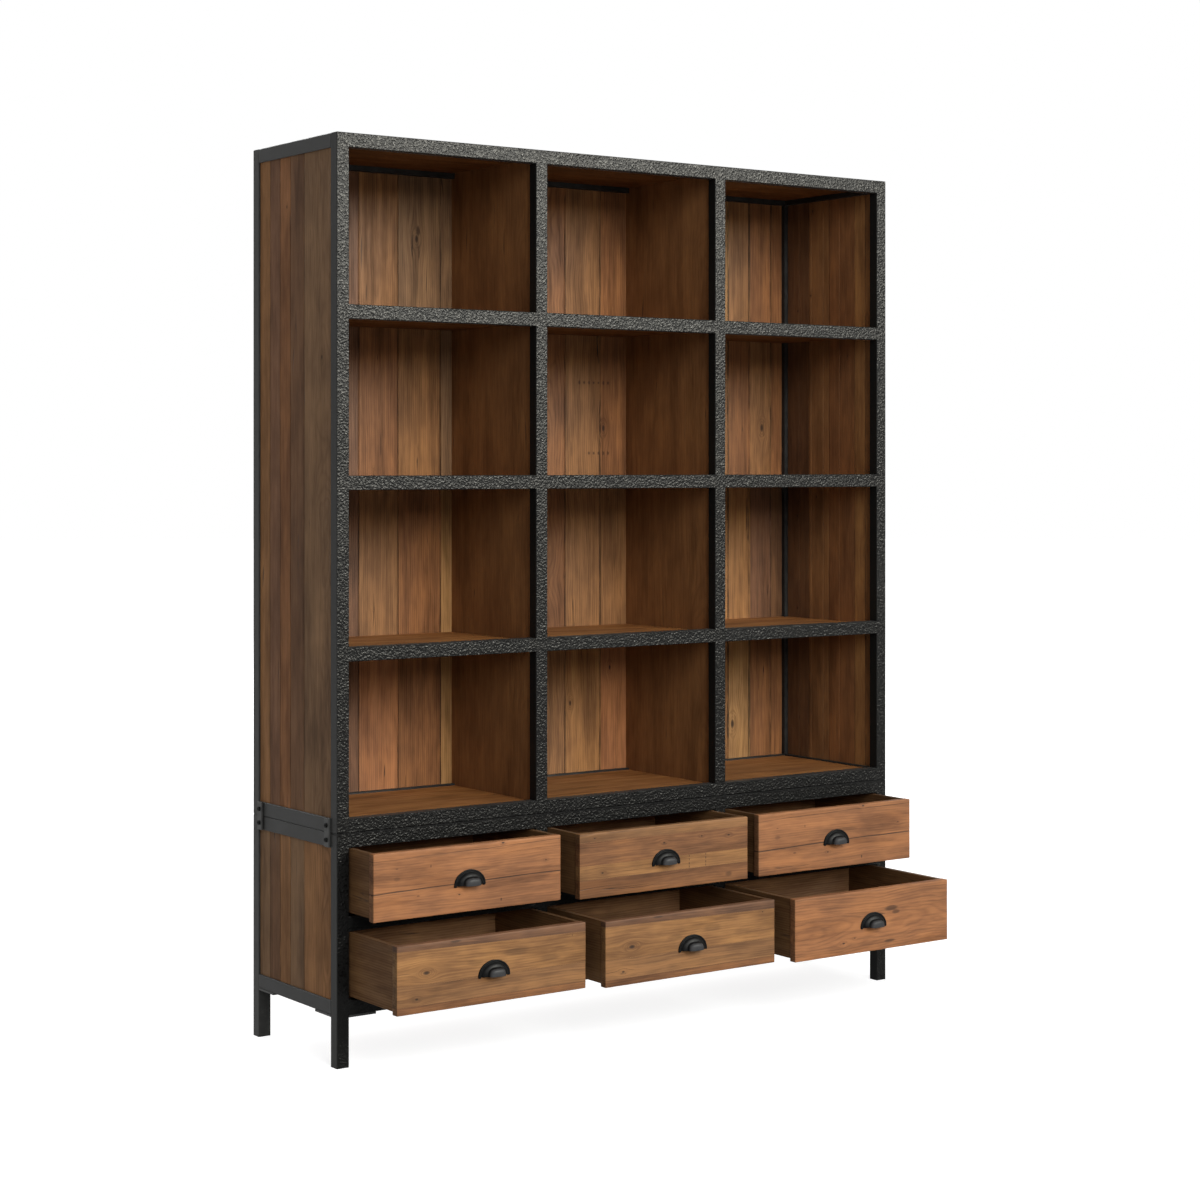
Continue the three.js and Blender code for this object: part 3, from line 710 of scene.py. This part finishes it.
class BOOKCASE_OT_planks(bpy.types.Operator):
    """Finishes the side and back panels of upright planks"""
    bl_idname = "bookcase.planks"
    bl_label = "Side and back planks"

    def execute(self, context):
        joints = [0.022, 0.086, 0.156, 0.226, 0.303, 0.374, 0.442, 0.541,
                  0.611, 0.676, 0.746, 0.81, 0.88, 0.926, 0.974]
        rows = (
            "umber tan plum rust russet straw tan tan honey rust tan plum honey straw russet russet",
            "umber tan plum tan russet straw umber russet tan tan tan russet honey honey plum umber",
            "umber plum plum russet tan ash russet russet tan russet tan plum tan russet tan russet",
            "umber plum plum tan ash ash umber russet tan russet straw tan straw tan russet russet",
        )
        shelves = [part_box(f"shelf_{index}")[0].z for index in (1, 2, 3)]
        low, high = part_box("upper_back_panel")
        dress("upper_back_panel", plank_panel(
            "planks_upper_back", X, low.x, high.x, joints, rows, shelves,
            knots=((1.940, -0.386, 0.014), (1.470, 0.190, 0.013), (0.748, 0.083, 0.011), (0.836, 0.211, 0.010),
                   (0.660, 0.627, 0.018), (1.476, 0.731, 0.016)),
            marks=((1.925, -0.399, 0.032, 0.0022, 0.8), (1.962, -0.381, 0.013, 0.006, 0.6),
                   (1.905, -0.379, 0.016, 0.002, 0.6), (1.90, -0.545, 0.05, 0.0022, 0.6),
                   (1.80, -0.53, 0.02, 0.002, 0.5), (1.42, -0.49, 0.03, 0.0018, 0.5)),
            nail_rows=((1.590, 0.107, 0.216), (1.404, 0.131, 0.216)), lined=1.2, fleck=1.4, cracks=1.4))
        dress("base_back_panel", plank_panel("planks_base_back", X, low.x, high.x, joints, rows[:1]))
        side_joints = [0.378, 0.568, 0.711, 0.858]
        low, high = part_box("upper_side_panel_left")
        dress("upper_side_panel_left", plank_panel(
            "planks_upper_side_left", Y, low.y, high.y, side_joints, ("ash umber russet plum tan",),
            knots=((1.62, 0.02, 0.009), (0.93, -0.21, 0.008), (1.98, 0.19, 0.007)), figure=0.6, lined=0.55))
        dress("upper_side_panel_right", plank_panel(
            "planks_upper_side_right", Y, low.y, high.y, [0.08, 0.2, 0.5, 0.74],
            ("tan honey russet tan umber",),
            knots=((2.072, 0.218, 0.006), (1.840, 0.225, 0.006), (1.800, 0.280, 0.006), (1.667, 0.073, 0.005),
                   (1.285, 0.201, 0.006), (1.232, 0.283, 0.007), (0.976, 0.281, 0.006)), figure=0.4, lined=0.45))
        for side in ("left", "right"):
            dress(f"base_side_panel_{side}", plank_panel(
                f"planks_base_side_{side}", Y, low.y, high.y, side_joints,
                ("tan ash tan umber ash",), figure=1.1, lined=0.45))
        return {"FINISHED"}


class BOOKCASE_OT_drawer_boxes(bpy.types.Operator):
    """Finishes the boxes and bottoms of the drawers"""
    bl_idname = "bookcase.drawer_boxes"
    bl_label = "Drawer boxes"

    def execute(self, context):
        main = scaled(tuple(context.scene.bookcase_wood.divider), 0.56, 0.62, 0.7)
        for index, name in enumerate(DRAWERS):
            # inner: painted light on the faces inside each box that look forward, which would otherwise show too dark
            dress(f"{name}_box", board(f"wood_{name}_box", Y, Z, main, 0.29 * index, inner=(1.75, 1.8, 1.95)))
            dress(f"{name}_bottom", board(f"wood_{name}_bottom", X, Y, scaled(main, 2.2), 0.29 * index))
        return {"FINISHED"}


class BOOKCASE_OT_drawer_fronts(bpy.types.Operator):
    """Models the plank fronts of the drawers with worn edges, each from its own boards"""
    bl_idname = "bookcase.drawer_fronts"
    bl_label = "Drawer fronts"

    def execute(self, context):
        settings = context.scene.bookcase_front
        low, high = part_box("drawer_top_middle_front")
        size, middle = high - low, (high + low) / 2
        deselect()
        bpy.ops.mesh.primitive_cube_add(size=1, location=(0, 0, 0))
        blank = context.active_object
        shape(blank)
        bpy.ops.transform.resize(value=size - Vector((1, 1, 1)) * settings.unevenness)
        for axis, cuts in ((X, 71), (Z, 21), (Y, 2)):
            def runs_along(edge, axis=axis):
                way = edge.verts[0].co - edge.verts[1].co
                return abs(way[axis]) > 0.99 * way.length
            pick(blank, "edges", runs_along)
            bpy.ops.mesh.subdivide(number_cuts=cuts)
        bpy.ops.object.mode_set(mode="OBJECT")
        modifier(blank, "BEVEL", width=settings.edge_wear, segments=3, limit_method="ANGLE",
                 angle_limit=math.radians(50))

        waves = bpy.data.textures.new("planed_waves", "CLOUDS")
        waves.noise_scale = 0.07
        chips = bpy.data.textures.new("worn_edges", "CLOUDS")
        chips.noise_scale = 0.012
        half = size / 2
        for name in DRAWERS:
            low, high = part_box(f"{name}_front")
            front = copy_to(blank, f"{name}_board", (low + high) / 2)
            group = front.vertex_groups.new(name="edges")
            centre = (low + high) / 2
            for vertex in front.data.vertices:
                away = sorted(half[k] - abs(vertex.co[k] - centre[k]) for k in (X, Y, Z))
                if away[1] < 0.004:
                    group.add([vertex.index], 1 - away[1] / 0.004, "REPLACE")
            modifier(front, "DISPLACE", texture=waves, texture_coords="LOCAL",
                     strength=settings.unevenness, mid_level=0.5)
            modifier(front, "DISPLACE", texture=chips, texture_coords="LOCAL", vertex_group="edges",
                     strength=-0.0008, mid_level=0.45)
            settle(front, 50)
            hand_over(front, f"{name}_board", front_wood(name, low, high), name, "drawer_front_wood",
                      f"{name}_front")
        bpy.data.objects.remove(blank)
        return {"FINISHED"}


class BOOKCASE_OT_pulls(bpy.types.Operator):
    """Models the cast cup pulls: half-moon flange, dome and finger hood"""
    bl_idname = "bookcase.pulls"
    bl_label = "Cup pulls"

    def execute(self, context):
        settings = context.scene.bookcase_pull
        low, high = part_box("drawer_top_middle_pull")
        radius, drop = (high.x - low.x) / 2, 3.2 * MM
        reach = high.y - low.y
        hem = 5.0 * MM
        outline = (
            (1.0, 0.0), (1.0, 0.07), (0.988, 0.125), (0.952, 0.148), (0.905, 0.138), (0.868, 0.112),
            (0.84, 0.13), (0.812, 0.2), (0.772, 0.28), (0.72, 0.34), (0.65, 0.4), (0.58, 0.44),
            (0.535, 0.48), (0.505, 0.56), (0.488, 0.69), (0.47, 0.8), (0.43, 0.89), (0.36, 0.95), (0.25, 0.99),
            (0.12, 1.0), (0.0, 1.0),
        )
        points = [Vector((share * radius, -rise * reach, 0)) for share, rise in outline]
        deselect()
        bpy.ops.mesh.primitive_plane_add(size=2 * MM, location=(0, 0, 0))
        pull = context.active_object
        shape(pull)
        bpy.ops.mesh.select_mode(type="VERT")
        bpy.ops.mesh.select_all(action="SELECT")
        bpy.ops.mesh.merge(type="CENTER")
        bpy.ops.transform.translate(value=points[0])
        for here, there in zip(points, points[1:]):
            bpy.ops.mesh.extrude_region_move(TRANSFORM_OT_translate={"value": there - here})
        bpy.ops.mesh.select_all(action="SELECT")
        bpy.ops.mesh.spin(steps=20, angle=math.pi, center=(0, 0, 0), axis=(0, 1, 0))
        bpy.ops.mesh.select_all(action="SELECT")
        bpy.ops.mesh.remove_doubles(threshold=0.05 * MM)
        for turn, grow in ((18, 1.03), (27, 1.07), (36, 1.115), (45, 1.14)):
            def on_hood(vert, turn=turn):
                angle = math.degrees(math.atan2(abs(vert.co.z), abs(vert.co.x)))
                return -vert.co.y > 0.46 * reach and abs(45 - abs(angle - 45) - turn) < 1
            pick(pull, "verts", on_hood)
            bpy.ops.transform.resize(value=(grow, 1, grow), center_override=(0, 0, 0))
        bpy.ops.mesh.select_all(action="SELECT")
        rise = (high.z - low.z - hem) / radius
        bpy.ops.transform.resize(value=(1, 1, rise), center_override=(0, 0, 0))
        for side in (-1, 1):
            def ear(edge, side=side):
                return all(abs(v.co.z) < 0.05 * MM and side * v.co.x > 0.82 * radius for v in edge.verts)
            pick(pull, "edges", ear)
            for fall, narrow in ((0.55, 0.94), (0.45, 0.62)):
                bpy.ops.mesh.extrude_region_move(TRANSFORM_OT_translate={"value": (0, 0, -fall * drop)})
                bpy.ops.transform.resize(
                    value=(narrow, 1, 1), center_override=(side * 0.91 * radius, 0, 0))
        bpy.ops.mesh.select_all(action="SELECT")
        bpy.ops.mesh.normals_make_consistent(inside=False)
        if sum(face.normal.y for face in bmesh.from_edit_mesh(pull.data).faces) > 0:
            bpy.ops.mesh.flip_normals()
        bpy.ops.object.mode_set(mode="OBJECT")
        modifier(pull, "SUBSURF", levels=2, render_levels=2)
        modifier(pull, "SOLIDIFY", thickness=settings.wall, offset=-1)
        settle(pull, 40)
        marks = pull.data.attributes.new("reach", "FLOAT", "POINT")
        for mark, vertex in zip(marks.data, pull.data.vertices):
            mark.value = -vertex.co.y / reach
        iron = cast_iron("cast_pull", tuple(settings.casting), tuple(settings.worn))
        for name in DRAWERS:
            low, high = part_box(f"{name}_pull")
            place = Vector(((low.x + high.x) / 2, high.y, low.z + hem))
            hand_over(copy_to(pull, f"{name}_cup", place), f"{name}_cup", iron, name, "pull_iron", f"{name}_pull")
        bpy.data.objects.remove(pull)
        return {"FINISHED"}


class BOOKCASE_OT_bolts(bpy.types.Operator):
    """Models the button-head bolts of the joining brackets"""
    bl_idname = "bookcase.bolts"
    bl_label = "Bracket bolts"

    def execute(self, context):
        settings = context.scene.bookcase_bolt
        radius, height = settings.head_radius, settings.head_height
        deselect()
        bpy.ops.mesh.primitive_cylinder_add(vertices=32, radius=radius, depth=height, location=(0, 0, height / 2))
        bolt = context.active_object
        shape(bolt)
        pick(bolt, "faces", lambda face: face.normal.z > 0.9)
        for narrow, lift in ((0.93, -0.04), (0.8, 0.0), (0.62, 0.05)):
            bpy.ops.mesh.inset(thickness=(1 - narrow) * radius * 0.5, depth=lift * height)
        pick(bolt, "verts", lambda vert: vert.co.z > height * 0.9 and vert.co.xy.length > 0.98 * radius)
        bpy.ops.transform.translate(value=(0, 0, -0.55 * height))
        pick(bolt, "verts", lambda vert: vert.co.z > height * 0.7 and vert.co.xy.length > 0.9 * radius)
        bpy.ops.transform.translate(value=(0, 0, -0.22 * height))
        bpy.ops.object.mode_set(mode="OBJECT")
        bpy.ops.mesh.primitive_cylinder_add(
            vertices=6, radius=settings.socket_width / math.sqrt(3), depth=height, location=(0, 0, height))
        key = context.active_object
        shape(key)
        pick(key, "faces", lambda face: face.normal.z < -0.9)
        bpy.ops.mesh.inset(thickness=0.2 * settings.socket_width, depth=0.1 * height)
        bpy.ops.object.mode_set(mode="OBJECT")
        modifier(bolt, "BOOLEAN", object=key, operation="DIFFERENCE", solver="EXACT")
        bpy.data.objects.remove(key)
        shape(bolt)
        bpy.ops.mesh.select_all(action="SELECT")
        bpy.ops.transform.rotate(value=math.radians(-90), orient_axis="Y", center_override=(0, 0, 0))
        bpy.ops.object.mode_set(mode="OBJECT")
        settle(bolt, 35)
        paint = cast_iron("bolt_black", (0.004, 0.004, 0.004))
        for end in ("front", "rear"):
            for side, turn in (("left", math.pi), ("right", 0.0)):
                bracket = f"joining_bracket_{end}_{side}"
                low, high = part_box(bracket)
                face = low.x if side == "left" else high.x
                for level, rise in (("lower", 16.5), ("upper", 49.5)):
                    place = Vector((face, (low.y + high.y) / 2, low.z + rise * MM))
                    name = f"bolt_{level}_{end}_{side}"
                    hand_over(copy_to(bolt, name, place, turn), name, paint, "case", "plate_steel")
        bpy.data.objects.remove(bolt)
        return {"FINISHED"}


class BOOKCASE_OT_stage(bpy.types.Operator):
    """Sets the floor, the light and the camera"""
    bl_idname = "bookcase.stage"
    bl_label = "Stage"

    def execute(self, context):
        settings = context.scene.bookcase_stage
        scene = context.scene
        scene.view_settings.view_transform = "Standard"

        deselect()
        bpy.ops.mesh.primitive_circle_add(vertices=64, radius=40, fill_type="NGON", location=(0, 0, 0))
        floor = context.active_object
        floor.name = "floor"
        paper = Finish("pale_floor")
        matt = paper.node("ShaderNodeBsdfDiffuse", values={"Color": (0.38, 0.38, 0.38, 1)})
        east, north, up = paper.parts(paper.place)
        far = (east * east + north * north) ** 0.5
        glow = paper.node("ShaderNodeEmission", values={
            "Color": (1, 1, 1, 1), "Strength": paper.step(far, 1.8, 5.0, 0.82, 1.0)})
        shade = paper.node("ShaderNodeBsdfDiffuse", values={"Color": (0.5, 0.5, 0.5, 1)})
        seen = paper.node("ShaderNodeLightPath", output="Is Camera Ray").at_least(
            paper.node("ShaderNodeLightPath", output="Is Glossy Ray") * 0.8)
        bright = paper.node("ShaderNodeAddShader", values={0: glow, 1: shade})
        floor.data.materials.append(paper.end(paper.node("ShaderNodeMixShader", values={0: seen, 1: matt, 2: bright})))

        world = bpy.data.worlds.new("studio")
        world.use_nodes = True
        tree = world.node_tree
        tree.nodes.clear()
        path = tree.nodes.new("ShaderNodeLightPath")
        most = tree.nodes.new("ShaderNodeMath")
        most.operation = "MAXIMUM"
        tree.links.new(path.outputs["Is Camera Ray"], most.inputs[0])
        tree.links.new(path.outputs["Is Glossy Ray"], most.inputs[1])
        level = tree.nodes.new("ShaderNodeMapRange")
        level.inputs["To Min"].default_value = settings.fill_strength
        level.inputs["To Max"].default_value = 1.0
        tree.links.new(most.outputs[0], level.inputs["Value"])
        sky = tree.nodes.new("ShaderNodeBackground")
        sky.inputs["Color"].default_value = (1, 1, 1, 1)
        tree.links.new(level.outputs[0], sky.inputs["Strength"])
        out = tree.nodes.new("ShaderNodeOutputWorld")
        tree.links.new(sky.outputs[0], out.inputs["Surface"])
        scene.world = world

        def panel(name, azimuth, elevation, distance, width, height, power, diffuse=True):
            """Soft light at an angle from straight ahead, aimed at the middle of the case."""
            aim = Vector((0, 0, 1.15))
            around, up = math.radians(azimuth), math.radians(elevation)
            way = Vector((math.sin(around) * math.cos(up), -math.cos(around) * math.cos(up), math.sin(up)))
            light = bpy.data.lights.new(name, "AREA")
            light.shape = "RECTANGLE"
            light.size = width
            light.size_y = height
            light.energy = power
            lamp = bpy.data.objects.new(name, light)
            scene.collection.objects.link(lamp)
            lamp.location = aim + way * distance
            lamp.rotation_euler = (-way).to_track_quat("-Z", "Y").to_euler()
            lamp.visible_camera = False
            lamp.visible_diffuse = diffuse
            return light

        panel("key", -8, 22.8, 14, 8, 7.0, settings.key_power)
        panel("sheen", 27, 21.2, 8, 5, 2.2, settings.sheen_power, diffuse=False).color = (1, 0.985, 0.9)
        panel("rear", 172, 26, 12, 7, 5, settings.rear_power)

        view = bpy.data.cameras.new("camera")
        view.sensor_fit = "HORIZONTAL"
        view.sensor_width = 36
        view.lens = settings.lens
        view.shift_y = -0.1114
        view.clip_end = 100
        camera = bpy.data.objects.new("camera", view)
        scene.collection.objects.link(camera)
        camera.location = (-3.5318, -4.8764, 1.3692)
        camera.rotation_euler = (math.pi / 2, 0, math.radians(-35.44))
        scene.camera = camera
        return {"FINISHED"}


class BOOKCASE_PT_sidebar(bpy.types.Panel):
    """Lists the parts of the bookcase in the sidebar"""
    bl_idname = "BOOKCASE_PT_sidebar"
    bl_label = "Bookcase"
    bl_space_type = "VIEW_3D"
    bl_region_type = "UI"
    bl_category = "Bookcase"

    def draw(self, context):
        layout = self.layout
        for name in SETTINGS:
            group = getattr(context.scene, name)
            for key in group.bl_rna.properties.keys():
                if key not in ("rna_type", "name"):
                    layout.prop(group, key)
        for operator in OPERATORS:
            layout.operator(operator.bl_idname)


SETTINGS = {
    "bookcase_steel": SteelSettings,
    "bookcase_wood": WoodSettings,
    "bookcase_front": FrontSettings,
    "bookcase_pull": PullSettings,
    "bookcase_bolt": BoltSettings,
    "bookcase_stage": StageSettings,
}
OPERATORS = (
    BOOKCASE_OT_stage,
    BOOKCASE_OT_steel,
    BOOKCASE_OT_boards,
    BOOKCASE_OT_planks,
    BOOKCASE_OT_drawer_boxes,
    BOOKCASE_OT_drawer_fronts,
    BOOKCASE_OT_pulls,
    BOOKCASE_OT_bolts,
)


def register():
    for group in (*SETTINGS.values(), *OPERATORS, BOOKCASE_PT_sidebar):
        bpy.utils.register_class(group)
    for name, group in SETTINGS.items():
        setattr(bpy.types.Scene, name, PointerProperty(type=group))


def unregister():
    for name in SETTINGS:
        delattr(bpy.types.Scene, name)
    for group in (BOOKCASE_PT_sidebar, *reversed(OPERATORS), *SETTINGS.values()):
        bpy.utils.unregister_class(group)


def main():
    register()
    for operator in OPERATORS:
        getattr(bpy.ops.bookcase, operator.bl_idname.split(".")[1])()
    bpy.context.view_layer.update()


if __name__ == "__main__":
    main()
